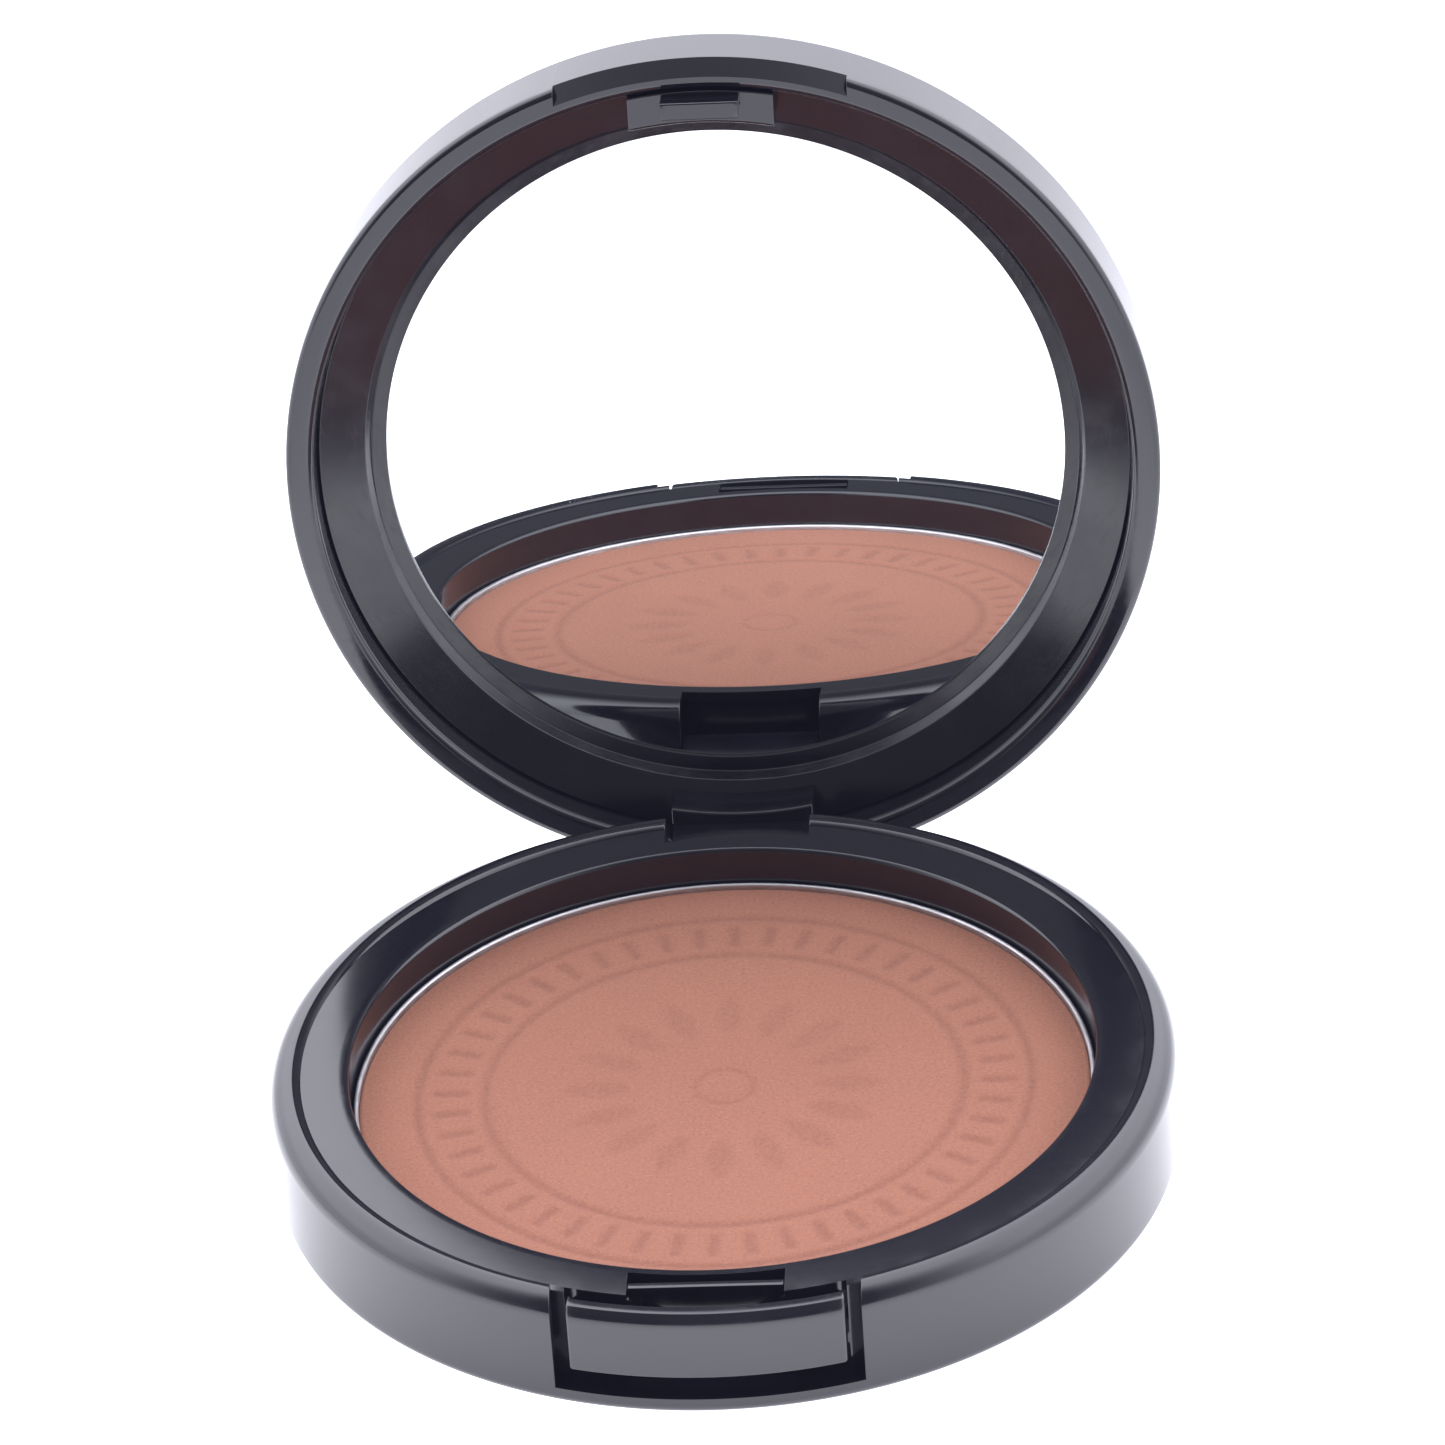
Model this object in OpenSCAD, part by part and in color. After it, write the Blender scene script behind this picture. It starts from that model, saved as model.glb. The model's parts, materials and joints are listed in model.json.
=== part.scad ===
// Round pressed-powder compact with a hinged mirror lid and a push button, millimetres.
// The base stands on z = 0 with its front, where the button is, towards -y.
// The lid is drawn closed and then swung back about the hinge pin by open_angle.

/* [Body] */
// outer radius of the base and of the lid
body_r = 36.5; // [30:0.5:45]
// height of the base, from the table to the top of its rim
base_h = 9.7; // [8.5:0.1:14]
// thickness of the lid, from its rim to the middle of its crown
lid_h = 8.35; // [7.5:0.05:12]
// gap between the two rims when the lid is closed
lid_gap = 0.1; // [0.05:0.05:0.4]
// width of the base's rim, from its inner edge to the outside
rim_w = 2.5; // [2:0.1:3.5]
// thickness of the base's floor
floor_t = 1.3; // [1:0.1:2]
// height of the wall that is left under the two cut-outs
sill_z = 1.5; // [1.3:0.1:2]

/* [Rounded edges] */
// outer edge of the base's rim
rim_round = 1.8; // [0.3:0.1:2.2]
// inner edge of the base's rim, the soft shoulder
bead_round = 0.9; // [0.75:0.05:1.2]
// bottom edge of the base
foot_round = 0.9; // [0.3:0.1:1.5]
// outer edge of the lid's rim
lip_round = 0.6; // [0.2:0.1:1]
// inner edge of the lid's rim
lid_in_round = 0.7; // [0.2:0.1:1]
// edge of the lid's crown
crown_round = 1.5; // [0.5:0.1:3]
// rise of the crown from its edge to its middle
crown_rise = 0.3; // [0:0.05:1]

/* [Powder] */
// inner radius of the well that holds the pan
well_r = 30.1; // [25:0.1:32]
// step down from the base's rim to the collar round the well
collar_drop = 0.35; // [0.1:0.05:1]
// outer radius of the metal pan
pan_r = 29.95; // [24:0.05:30]
// height of the pan's rim over the table
pan_top = 6.15; // [5:0.05:8]
// wall and floor of the pan
pan_t = 0.4; // [0.2:0.05:0.8]
// how far the powder lies below the pan's rim
powder_drop = 0.25; // [0:0.05:1]
// depth of the lines pressed into the powder
emboss = 0.12; // [0.05:0.01:0.3]
// number of short dashes between the two pressed rings
dash_n = 48; // [12:4:72]
// number of leaf-shaped dimples in the pressed rosette
petal_n = 16; // [8:2:24]

/* [Lid inside] */
// radius of the mirror glass
mirror_r = 29.65; // [24:0.05:31]
// thickness of the mirror glass
mirror_t = 1.1; // [0.8:0.1:2]
// visible radius of the mirror, inside the frame's lip
window_r = 28.5; // [23:0.1:30]
// depth of the mirror's face behind the lid's rim
mirror_depth = 5.9; // [3:0.1:8]
// depth of the frame's sloping ring behind the lid's rim, at its outer edge
ring_depth = 3.1; // [2:0.1:4]
// rise of that ring from its outer to its inner edge
ring_rise = 1.3; // [0:0.1:1.5]

/* [Hinge] */
// distance of the pin behind the middle of the base
hinge_y = 34.3; // [30:0.1:36]
// height of the pin over the table
hinge_z = 4.0; // [3:0.1:6]
// diameter of the pin
pin_d = 1.2; // [0.8:0.1:2]
// length of the pin
pin_l = 17; // [10:0.5:20]
// width of the lid's knuckle
knuckle_w = 11.8; // [8:0.1:14]
// angle the lid stands open at, 0 is closed
open_angle = 96.8; // [0:0.1:96.8]

/* [Button] */
// width of the button's face
button_w = 21.6; // [16:0.1:26]
// bottom edge of the button's face
button_z0 = 3.4; // [2:0.1:5]
// top edge of the button's face
button_z1 = 9.2; // [7:0.1:9.6]
// width of the cut-out in the base's wall
notch_w = 24; // [20:0.1:30]
// width of the latch tongue
tongue_w = 6.4; // [4:0.1:10]

/* [Output] */
// piece to show

/* [Hidden] */
$fn = 96;
eps = 0.01;
side_gap = 0.15;                       // clearance beside the knuckle
fit_gap = 0.1;                         // clearance between a drop-in piece and its seat
rim_in = body_r - rim_w;               // inner radius of the base's wall and rim
collar_z = base_h - collar_drop;       // top of the collar round the well
collar_t = 0.85;                       // thickness of the collar
well_t = 0.9;                          // thickness of the well's wall
well_out = well_r + well_t;
tray_floor_t = 1.2;
tray_floor = floor_t + tray_floor_t;   // top of the tray's floor
glue_t = 0.15;
pan_bottom = tray_floor + glue_t;
powder_top = pan_top - powder_drop;
label_r = 26.5;
label_t = 0.12;
lid_z = base_h + lid_gap;              // rim plane of the closed lid
lid_top = lid_z + lid_h;
cavity_r = rim_in + 0.1;               // inner radius of the lid's wall
frame_r = cavity_r - fit_gap;          // outer radius of the mirror frame
crown_in = lid_z + mirror_depth + mirror_t + glue_t;  // underside of the crown
seat_r = mirror_r + fit_gap;           // pocket for the mirror in the frame
shoulder_r = rim_in + 0.7;             // top of the soft shoulder on the base's rim
block_w = 12;                          // width of the frame's blocks, front and back
block_r = 31.2;                        // inner radius of those blocks
block_top = lid_z + ring_depth + ring_rise + 0.2;      // upper end of those blocks
knuckle_r = body_r - hinge_y;          // round end of the knuckle
knuckle_gap = 0.2;                     // clearance round the knuckle, front to back
plate_in = body_r - 1.6;               // inner face of the button's plate
tongue_y0 = -33.6;                     // tongue, front face
tongue_y1 = -32.6;                     // tongue, back face
tongue_z = 8.05;                       // lower end of the tongue
nub = 0.45;                            // how far the tongue's nub sticks out
catch_y0 = -32.5;                      // catch bar of the button, front face
catch_y1 = -31.8;
catch_z0 = 8.7;
catch_z1 = 9.3;
slot_w = 12.2;                         // slot in the collar for the tongue and the catch bar
foot_x = 5;                            // inner side of the catch bar's feet
arm_x0 = 9.4;                          // side arms of the button
arm_x1 = 10.6;
arm_y = -30.5;
arm_z = 5.8;
arm_top = 8.2;
ring_out_r = 24.9;                     // the two rings pressed into the powder
ring_in_r = 19.4;
ring_in = 30.2;                        // inner radius of the frame's sloping ring
step_in = 29.7;                        // inner radius of the step behind it
chamfer_in = 35.2;                     // inner radius of the chamfer in the lid's rim
chamfer_h = 1.2;                       // height of that chamfer at the lid's outside
chamfer_k = chamfer_h / (body_r - chamfer_in);
skin_r = 34.8;                         // outer radius of the cheeks beside the button's arms
cheek_x = 10.9;                        // inner side of those cheeks
plastic = [0.07, 0.07, 0.085];

// points along a circular arc, from angle a0 to a1 in n steps
function arc(cx, cy, r, a0, a1, n = 6) =
    [for (i = [0:n]) let (a = a0 + (a1 - a0) * i / n) [cx + r * cos(a), cy + r * sin(a)]];

// height of the domed crown at radius r
function crown_at(r) = lid_top - crown_rise * pow(r / (body_r - crown_round), 2);

// a box from one corner to the other
module span(a, b) {
    translate(a) cube([b[0] - a[0], b[1] - a[1], b[2] - a[2]]);
}

// pointed oval, where two round discs of radius r overlap
module lens(r, h) {
    intersection_for(s = [-1, 1]) translate([0, 3.1 * s, 0]) cylinder(r = r, h = h);
}

// the same piece on the left and on the right
module both_sides() {
    for (s = [0, 1]) mirror([s, 0, 0]) children();
}

// swings a closed lid piece back to the open position
module open_lid() {
    translate([0, hinge_y, hinge_z]) rotate([-open_angle, 0, 0])
        translate([0, -hinge_y, -hinge_z]) children();
}

// round rod along x, centred on the hinge axis
module hinge_rod(d, l) {
    translate([-l / 2, hinge_y, hinge_z]) rotate([0, 90, 0]) cylinder(d = d, h = l);
}

// outer cup: floor, wall, cut-outs for the button and the knuckle, seats for pin and button
module base_shell() {
    color(plastic) difference() {
        union() {
            difference() {
                rotate_extrude() polygon(concat(
                    [[0, label_t], [label_r, label_t], [label_r, 0]],
                    arc(body_r - foot_round, foot_round, foot_round, -90, 0),
                    arc(body_r - rim_round, base_h - rim_round, rim_round, 0, 90),
                    arc(shoulder_r, base_h - bead_round, bead_round, 90,
                        90 + asin((shoulder_r - rim_in) / bead_round), 5),
                    [[rim_in, floor_t], [0, floor_t]]));
                // cut-out for the button, with thin cheeks left beside its arms
                difference() {
                    span([-notch_w / 2, -body_r - 1, sill_z], [notch_w / 2, -28, base_h + 1]);
                    both_sides() intersection() {
                        span([cheek_x, -body_r, sill_z - 1], [notch_w / 2 + 1, -28, base_h - 0.2]);
                        translate([0, 0, sill_z - 1]) cylinder(r = skin_r, h = base_h);
                    }
                }
                // cut-out for the knuckle
                span([-knuckle_w / 2 - side_gap, 30, sill_z],
                     [knuckle_w / 2 + side_gap, body_r + 1, base_h + 1]);
            }
            // ears that hold the pin beside the knuckle
            both_sides() intersection() {
                span([knuckle_w / 2 + side_gap, 32, floor_t - 0.2], [9.6, 36, 6.2]);
                cylinder(r = body_r - 0.3, h = base_h);
            }
            // posts under the button's arms
            both_sides() span([8.7, -32.2, floor_t - 0.2], [11, -30.2, arm_z - fit_gap]);
            // ledge under the spring
            span([-6.5, -33.2, floor_t - 0.2], [6.5, -31.5, 4.1]);
        }
        hinge_rod(pin_d + 0.04, pin_l + 0.2);
    }
}

// inner tray: collar round the well, wall and floor of the well
module base_tray() {
    color([0.1, 0.1, 0.12]) difference() {
        rotate_extrude() polygon(concat(
            [[0, floor_t], [well_out, floor_t], [well_out, collar_z - collar_t],
             [rim_in - fit_gap, collar_z - collar_t], [rim_in - fit_gap, collar_z]],
            arc(well_r + 0.4, collar_z - 0.4, 0.4, 90, 180, 4),
            [[well_r, tray_floor], [0, tray_floor]]));
        // slot for the latch tongue
        span([-slot_w / 2, -rim_in - 1, collar_z - collar_t - 0.1],
             [slot_w / 2, -well_out + 0.1, base_h]);
        // room for the knuckle
        span([-knuckle_w / 2 - side_gap, hinge_y - knuckle_r - knuckle_gap, floor_t - 0.1],
             [knuckle_w / 2 + side_gap, body_r, base_h]);
    }
}

// thin metal pan with a rolled-looking rim
module pan() {
    color([0.8, 0.8, 0.82]) rotate_extrude() polygon(concat(
        [[0, pan_bottom]],
        arc(pan_r - 0.6, pan_bottom + 0.6, 0.6, -90, 0, 4),
        [[pan_r, pan_top - 0.12], [pan_r - 0.12, pan_top], [pan_r - pan_t + 0.1, pan_top],
         [pan_r - pan_t, pan_top - 0.1], [pan_r - pan_t, pan_bottom + pan_t + 0.3],
         [pan_r - pan_t - 0.3, pan_bottom + pan_t], [0, pan_bottom + pan_t]]));
}

// pressed powder with two rings, dashes between them and a plain ring of dimples
module powder_cake() {
    color([0.74, 0.5, 0.44]) difference() {
        rotate_extrude() polygon([
            [0, pan_bottom + pan_t], [pan_r - pan_t - 0.32, pan_bottom + pan_t],
            [pan_r - pan_t - 0.02, pan_bottom + pan_t + 0.32],
            [pan_r - pan_t - 0.02, powder_top - 0.2], [pan_r - pan_t - 0.22, powder_top],
            [0, powder_top]]);
        for (r = [ring_in_r, ring_out_r])
            rotate_extrude() polygon([[r - 0.35, powder_top + eps], [r - 0.12, powder_top - emboss],
                                      [r + 0.12, powder_top - emboss], [r + 0.35, powder_top + eps]]);
        for (i = [0:dash_n - 1]) rotate([0, 0, 360 * i / dash_n])
            span([ring_in_r + 1.3, -0.42, powder_top - emboss], [ring_out_r - 1.3, 0.42, powder_top + 1]);
        for (i = [0:petal_n - 1]) rotate([0, 0, 360 * i / petal_n])
            translate([10.2, 0, powder_top - 0.7 * emboss]) lens(4.2, 1);
        translate([0, 0, powder_top - emboss]) difference() {
            cylinder(r = 2.6, h = 1);
            translate([0, 0, -1]) cylinder(r = 2.15, h = 3);
        }
    }
}

// double-sided pad under the pan
module pan_adhesive() {
    color([0.85, 0.82, 0.7]) translate([0, 0, tray_floor]) cylinder(r = 18, h = glue_t);
}

// blank paper label set into the underside
module base_label() {
    color([0.9, 0.9, 0.88]) cylinder(r = label_r - 0.2, h = label_t - 0.01);
}

// steel pin of the hinge
module hinge_pin() {
    color([0.6, 0.6, 0.62]) hinge_rod(pin_d, pin_l);
}

// outer cup of the lid with the hinge knuckle
module lid_shell() {
    color(plastic) open_lid() difference() {
        union() {
            difference() {
                rotate_extrude() polygon(concat(
                    [[0, crown_in], [cavity_r, crown_in]],
                    arc(cavity_r + lid_in_round, lid_z + lid_in_round, lid_in_round, 180, 270, 4),
                    arc(body_r - lip_round, lid_z + lip_round, lip_round, -90, 0),
                    arc(body_r - crown_round, lid_top - crown_rise - crown_round, crown_round, 0, 88, 7),
                    [for (i = [7:-1:0]) let (r = (body_r - crown_round) * i / 7.4) [r, crown_at(r)]]));
                // chamfer over the button
                intersection() {
                    span([-notch_w / 2, -body_r - 1, lid_z - 2], [notch_w / 2, -28, lid_z + 3]);
                    rotate_extrude() polygon([[chamfer_in - 1, lid_z - chamfer_k],
                        [body_r + 1, lid_z - chamfer_k],
                        [body_r + 1, lid_z + chamfer_k * (body_r + 1 - chamfer_in)]]);
                }
            }
            // knuckle, flush with the wall when the lid is closed
            intersection() {
                union() {
                    span([-knuckle_w / 2, hinge_y - knuckle_r, hinge_z],
                         [knuckle_w / 2, body_r + 1, lid_z + ring_depth - fit_gap]);
                    hinge_rod(2 * knuckle_r, knuckle_w);
                }
                cylinder(r = body_r, h = lid_top);
            }
        }
        hinge_rod(pin_d + 0.1, knuckle_w + 1);
    }
}

// frame that holds the mirror, with the latch tongue at the front
module mirror_frame() {
    color([0.09, 0.09, 0.11]) open_lid() {
        rotate_extrude() polygon([
            [frame_r, lid_z + ring_depth], [frame_r, crown_in - 0.05], [seat_r, crown_in - 0.05],
            [seat_r, lid_z + mirror_depth - 0.05], [window_r, lid_z + mirror_depth - 0.05],
            [window_r, lid_z + mirror_depth - 0.37], [step_in, lid_z + mirror_depth - 0.6],
            [ring_in, lid_z + ring_depth + ring_rise]]);
        // blocks that fill the ring at the latch and at the hinge
        intersection() {
            rotate_extrude() polygon([[block_r, lid_z + 0.3], [block_r + 0.3, lid_z],
                [frame_r, lid_z], [frame_r, block_top], [block_r, block_top]]);
            union() {
                span([-block_w / 2, -body_r, 0], [block_w / 2, -20, lid_top]);
                span([-block_w / 2, 20, 0], [block_w / 2, hinge_y - knuckle_r - 0.05, lid_top]);
            }
        }
        // tongue and nub
        span([-tongue_w / 2, tongue_y0, tongue_z], [tongue_w / 2, tongue_y1, lid_z + 1]);
        translate([-tongue_w / 2, 0, 0]) rotate([90, 0, 90]) linear_extrude(tongue_w)
            polygon([[tongue_y1 - eps, tongue_z], [tongue_y1 + 0.1, tongue_z],
                     [tongue_y1 + nub, tongue_z + 0.25], [tongue_y1 + nub, tongue_z + 0.45],
                     [tongue_y1 - eps, tongue_z + 0.5]]);
    }
}

// mirror glass, silvered on its back
module mirror_glass() {
    color([0.85, 0.9, 0.92]) open_lid() translate([0, 0, lid_z + mirror_depth]) cylinder(r = mirror_r, h = mirror_t);
}

// pad that holds the mirror to the crown
module mirror_adhesive() {
    color([0.85, 0.82, 0.7]) open_lid()
        translate([0, 0, lid_z + mirror_depth + mirror_t]) cylinder(r = 24, h = glue_t - 0.01);
}

// push button: face plate, side arms with stop wings, catch bar
module push_button() {
    color([0.12, 0.12, 0.14]) {
        // face plate, rounded at the top like the rim beside it
        intersection() {
            rotate_extrude() polygon(concat(
                [[plate_in, button_z0], [body_r, button_z0]],
                arc(body_r - rim_round, base_h - rim_round, rim_round, 0,
                    asin((button_z1 - base_h + rim_round) / rim_round), 5),
                [[plate_in, button_z1]]));
            span([-button_w / 2, -body_r - 1, 0], [button_w / 2, -20, base_h]);
        }
        both_sides() {
            difference() {
                span([arm_x0, -35, arm_z], [arm_x1, arm_y, arm_top]);
                translate([0, 0, arm_z - 1]) difference() {
                    cylinder(r = body_r + 4, h = 5);
                    translate([0, 0, -1]) cylinder(r = plate_in + 0.6, h = 7);
                }
            }
            span([arm_x1 - eps, arm_y - 0.8, arm_z], [12.9, arm_y, arm_top]);
            // foot of the catch bar and its link to the arm, under the collar
            span([foot_x, catch_y0, arm_top - 1], [slot_w / 2 - 0.1, catch_y1, catch_z0 + eps]);
            span([slot_w / 2 - 0.1 - eps, catch_y0, arm_top - 1], [arm_x0 + eps, catch_y1, arm_top]);
        }
        span([-slot_w / 2 + 0.1, catch_y0, catch_z0], [slot_w / 2 - 0.1, catch_y1, catch_z1]);
    }
}

// bowed leaf spring between the well's wall and the button's plate
module button_spring() {
    color([0.75, 0.75, 0.78]) intersection() {
        translate([0, -45.7, 4.2]) difference() {
            cylinder(r = 14.55, h = 1.2);
            translate([0, 0, -1]) cylinder(r = 14.3, h = 4);
        }
        span([-7.9, -35, 4], [7.9, -30, 6]);
    }
}

base_shell();
base_tray();
pan();
powder_cake();
pan_adhesive();
base_label();
hinge_pin();
lid_shell();
mirror_frame();
mirror_glass();
mirror_adhesive();
push_button();
button_spring();
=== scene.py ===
import json
import math
import bmesh
import bpy
from mathutils import Matrix, Vector


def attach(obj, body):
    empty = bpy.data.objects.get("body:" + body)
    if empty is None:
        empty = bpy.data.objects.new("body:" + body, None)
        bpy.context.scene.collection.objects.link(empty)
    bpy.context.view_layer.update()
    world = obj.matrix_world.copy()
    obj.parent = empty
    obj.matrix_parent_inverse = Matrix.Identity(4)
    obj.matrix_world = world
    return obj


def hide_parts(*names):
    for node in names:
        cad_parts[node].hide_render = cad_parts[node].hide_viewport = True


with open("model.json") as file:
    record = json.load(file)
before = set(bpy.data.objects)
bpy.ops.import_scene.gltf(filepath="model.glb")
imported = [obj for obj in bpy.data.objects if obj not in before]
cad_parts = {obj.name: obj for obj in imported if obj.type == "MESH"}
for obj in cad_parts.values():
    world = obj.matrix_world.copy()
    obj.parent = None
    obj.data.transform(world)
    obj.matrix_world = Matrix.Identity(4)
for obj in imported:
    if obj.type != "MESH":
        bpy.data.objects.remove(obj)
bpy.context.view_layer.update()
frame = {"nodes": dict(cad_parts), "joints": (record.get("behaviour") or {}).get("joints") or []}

MM = 0.001
HINGE = next(j for j in frame["joints"] if j["name"] == "lid_hinge")
OPEN = math.radians(HINGE["range_deg"][1])
PIN_Y, PIN_Z = HINGE["pos_m"][1] / MM, HINGE["pos_m"][2] / MM

# --------------------------------------------------------------------------
# mesh code: everything is drawn in millimetres, the lid as it lies when shut
# --------------------------------------------------------------------------


def opened(p):
    """A point of the shut lid, carried round the hinge pin to where it stands open at rest."""
    y, z = p[1] - PIN_Y, p[2] - PIN_Z
    c, s = math.cos(OPEN), math.sin(OPEN)
    return (p[0], PIN_Y + y * c + z * s, PIN_Z - y * s + z * c)


class Shape:
    """Collects welded points and faces; `edge` is how much of a rounded edge each point is on."""

    def __init__(self):
        self.points, self.faces, self.edge, self.seen = [], [], [], {}

    def point(self, x, y, z, edge=0.0):
        key = (round(x * 2e4), round(y * 2e4), round(z * 2e4))
        if key not in self.seen:
            self.seen[key] = len(self.points)
            self.points.append((x, y, z))
            self.edge.append(edge)
        return self.seen[key]

    def face(self, ids):
        ring = [v for i, v in enumerate(ids) if v != ids[i - 1]]
        if len(set(ring)) >= 3 and len(set(ring)) == len(ring):
            self.faces.append(ring)

    def build(self, name, body, slot, material, replaces, lid=False, sharp=32.0):
        pts = [opened(p) for p in self.points] if lid else self.points
        mesh = bpy.data.meshes.new(name)
        mesh.from_pydata([Vector(p) * MM for p in pts], [], self.faces)
        bm = bmesh.new()
        bm.from_mesh(mesh)
        bmesh.ops.recalc_face_normals(bm, faces=bm.faces)
        bm.to_mesh(mesh)
        bm.free()
        layer = mesh.attributes.new("edge", "FLOAT", "POINT")
        layer.data.foreach_set("value", self.edge)
        mesh.shade_smooth()
        mesh.set_sharp_from_angle(angle=math.radians(sharp))
        obj = bpy.data.objects.new(name, mesh)
        bpy.context.scene.collection.objects.link(obj)
        obj.data.materials.append(material)
        weighted = obj.modifiers.new("weighted_normals", "WEIGHTED_NORMAL")
        weighted.keep_sharp = True
        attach(obj, body)
        if replaces:
            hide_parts(*replaces)
        return obj


def arc(cr, cz, radius, start, stop, steps):
    out = []
    for i in range(steps + 1):
        a = math.radians(start + (stop - start) * i / steps)
        out.append((cr + radius * math.cos(a), cz + radius * math.sin(a)))
    return out


def unit(a, b):
    d = math.hypot(b[0] - a[0], b[1] - a[1]) or 1.0
    return ((b[0] - a[0]) / d, (b[1] - a[1]) / d)


def area(poly):
    return sum(a[0] * b[1] - b[0] * a[1] for a, b in zip(poly, poly[1:] + poly[:1])) / 2


def drawn_in(poly, amount, closed):
    """The outline moved inwards; the ends of an open one slide along the line between them."""
    sign = 1.0 if area(poly) > 0 else -1.0
    out, n = [], len(poly)
    for i, p in enumerate(poly):
        if not closed and i in (0, n - 1):
            d = unit(p, poly[n - 1 - i])
            out.append((p[0] + d[0] * amount, p[1] + d[1] * amount))
            continue
        e0, e1 = unit(poly[i - 1], p), unit(p, poly[(i + 1) % n])
        nx, nz = -(e0[1] + e1[1]) * sign, (e0[0] + e1[0]) * sign
        size = nx * nx + nz * nz
        k = 2 * amount / max(size, 0.5)
        out.append((p[0] + nx * k, p[1] + nz * k))
    return out


def bends(profile, closed):
    """1 where the outline turns gently, as it does round a moulded edge, and 0 on its flats."""
    out = []
    for i, p in enumerate(profile):
        if not closed and i in (0, len(profile) - 1):
            out.append(0.0)
            continue
        q0, q1 = profile[i - 1], profile[(i + 1) % len(profile)]
        e0, e1 = unit(q0, p), unit(p, q1)
        turn = abs(e0[0] * e1[1] - e0[1] * e1[0])
        out.append(1.0 if turn > 0.04 else 0.0)
    return out


def rounded(points, steps=4):
    """A closed outline with each (u, v, radius) corner rounded."""
    out, n = [], len(points)
    for i, (u, v, radius) in enumerate(points):
        if radius <= 0:
            out.append((u, v))
            continue
        a, b = unit((u, v), points[i - 1][:2]), unit((u, v), points[(i + 1) % n][:2])
        cosine = max(-1.0, min(1.0, a[0] * b[0] + a[1] * b[1]))
        half = math.acos(cosine) / 2
        reach = radius / math.tan(half)
        mid = (a[0] + b[0], a[1] + b[1])
        size = math.hypot(*mid)
        centre = (u + mid[0] / size * radius / math.sin(half), v + mid[1] / size * radius / math.sin(half))
        p0 = (u + a[0] * reach, v + a[1] * reach)
        p1 = (u + b[0] * reach, v + b[1] * reach)
        t0 = math.atan2(p0[1] - centre[1], p0[0] - centre[0])
        t1 = math.atan2(p1[1] - centre[1], p1[0] - centre[0])
        turn = (t1 - t0 + math.pi) % (2 * math.pi) - math.pi
        for k in range(steps + 1):
            t = t0 + turn * k / steps
            out.append((centre[0] + radius * math.cos(t), centre[1] + radius * math.sin(t)))
    return out


class Notch:
    """An opening with flat upright sides at x = +-half, cut through outline points first..last."""

    def __init__(self, side, half, first, last, reach, fillet=0.12):
        self.side, self.half, self.first, self.last = side, half, first, last
        self.reach, self.fillet = reach, fillet


def columns(notches, count):
    """The upright columns of a turned shape, in order round it: (kind, value, draw-in, notch)."""
    front = next((n for n in notches if n.side < 0), None)
    rear = next((n for n in notches if n.side > 0), None)
    out = []

    def cross(n):
        cols, steps = [], 5
        for i in range(steps, 0, -1):
            phi = math.pi / 2 * i / steps
            cols.append(("near", n.half + n.fillet * (1 - math.cos(phi)), n.fillet * (1 - math.sin(phi)), n))
        cols.append(("edge", n.half, n.fillet, n))
        inner = max(4, int(2 * n.half / 0.6))
        right = [("in", n.half - 2 * n.half * i / inner, 0.0, n) for i in range(1, inner)]
        cols += right
        cols += [(k, -v, d, m) for k, v, d, m in reversed(cols[: steps + 1])]
        return cols if n.side > 0 else [(k, -v, d, m) for k, v, d, m in cols]

    def span(n):
        return math.asin((n.half + n.fillet) / n.reach) + math.radians(1.0) if n else None

    a0 = span(front)
    a1 = span(rear)
    if front:
        out += cross(front)
    lo = a0 if front else 0.0
    hi = math.pi - a1 if rear else math.pi
    steps = max(8, int(count * (hi - lo) / (2 * math.pi)))
    right = [lo + (hi - lo) * i / steps for i in range(steps + 1)]
    left = [-a for a in reversed(right)]
    if not front:
        left = left[:-1]
    if not rear:
        left = left[1:]
    out += [("turn", a, 0.0, None) for a in right]
    if rear:
        out += cross(rear)
    out += [("turn", a, 0.0, None) for a in left]
    return out


def angle(col, r):
    kind, value, _, notch = col
    if kind == "turn":
        return value
    s = math.asin(value / max(r, notch.reach))
    return s if notch.side < 0 else math.pi - s


def lathe(shape, profile, notches=(), count=400, closed=False):
    """Turns an outline of (radius, height) points about the axis, leaving the notches open."""
    cols = columns(notches, count)
    wear = bends(profile, closed)
    grid = []
    for col in cols:
        kind, _, draw, n = col
        pulled = {}
        if n and draw > 0:
            inner = profile[n.first + 1 : n.last]
            pulled = {n.first + 1 + i: p for i, p in enumerate(drawn_in(inner, draw, False))}
        row = []
        for k, (r, z) in enumerate(profile):
            if kind == "in" and n.first < k < n.last:
                row.append(None)
                continue
            r, z = pulled.get(k, (r, z))
            t = angle(col, r)
            w = max(wear[k], 1.0 if k in pulled else 0.0)
            row.append(shape.point(r * math.sin(t), -r * math.cos(t), z, w))
        grid.append(row)
    last = len(profile) if closed else len(profile) - 1
    for j, col in enumerate(cols):
        j1 = (j + 1) % len(cols)
        nxt, a, b = cols[j1], grid[j], grid[j1]
        across = col[0] in ("in", "edge") and nxt[0] in ("in", "edge") and col[3] is nxt[3]
        n = col[3]
        for k in range(last):
            k1 = (k + 1) % len(profile)
            if across and n.first <= k < n.last:
                continue
            shape.face([a[k], b[k], b[k1], a[k1]])
        if across:
            ends = []
            for c, row in ((col, a), (nxt, b)):
                path = [n.first, n.first + 1, n.last - 1, n.last] if c[0] == "edge" else [n.first, n.last]
                ends.append([row[i] for i in path])
            shape.face(ends[0] + ends[1][::-1])
        if col[0] == "edge":
            shape.face(a[n.first + 1 : n.last])


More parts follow.
